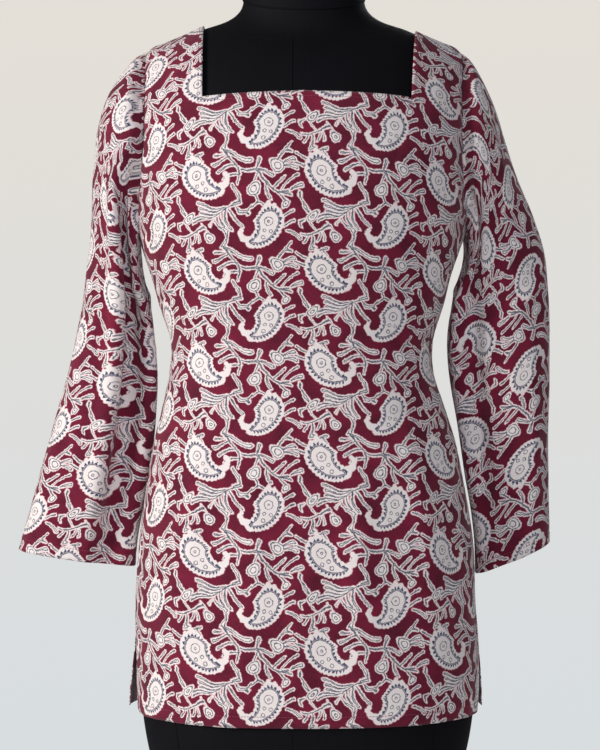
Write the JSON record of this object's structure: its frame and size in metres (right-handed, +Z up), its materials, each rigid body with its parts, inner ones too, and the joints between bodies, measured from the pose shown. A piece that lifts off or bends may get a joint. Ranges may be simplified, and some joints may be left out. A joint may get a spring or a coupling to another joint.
{
  "type": "kurta tunic on a limbless dress form",
  "caption": "Square-neck printed cotton kurta with long flared sleeves and side slits, worn by a limbless dress form on a round base.",
  "frame": {"origin": "centre of the underside of the stand's round base", "axes": "+Z up, -Y out of the front of the tunic, +X towards the wearer's left sleeve"},
  "size_m": [0.544, 0.3, 1.0679],
  "materials": {
    "printed_cotton": "matte block-printed cotton",
    "black_jersey": "matte stretched jersey",
    "stand_metal": "satin black powder coat"
  },
  "bodies": {
    "root": {"front": "printed_cotton", "back": "printed_cotton", "sleeve_right": "printed_cotton", "sleeve_left": "printed_cotton", "form_torso": "black_jersey", "form_neck_cap": "black_jersey", "stand_pole": "stand_metal", "stand_base": "stand_metal"}
  },
  "joints": []
}
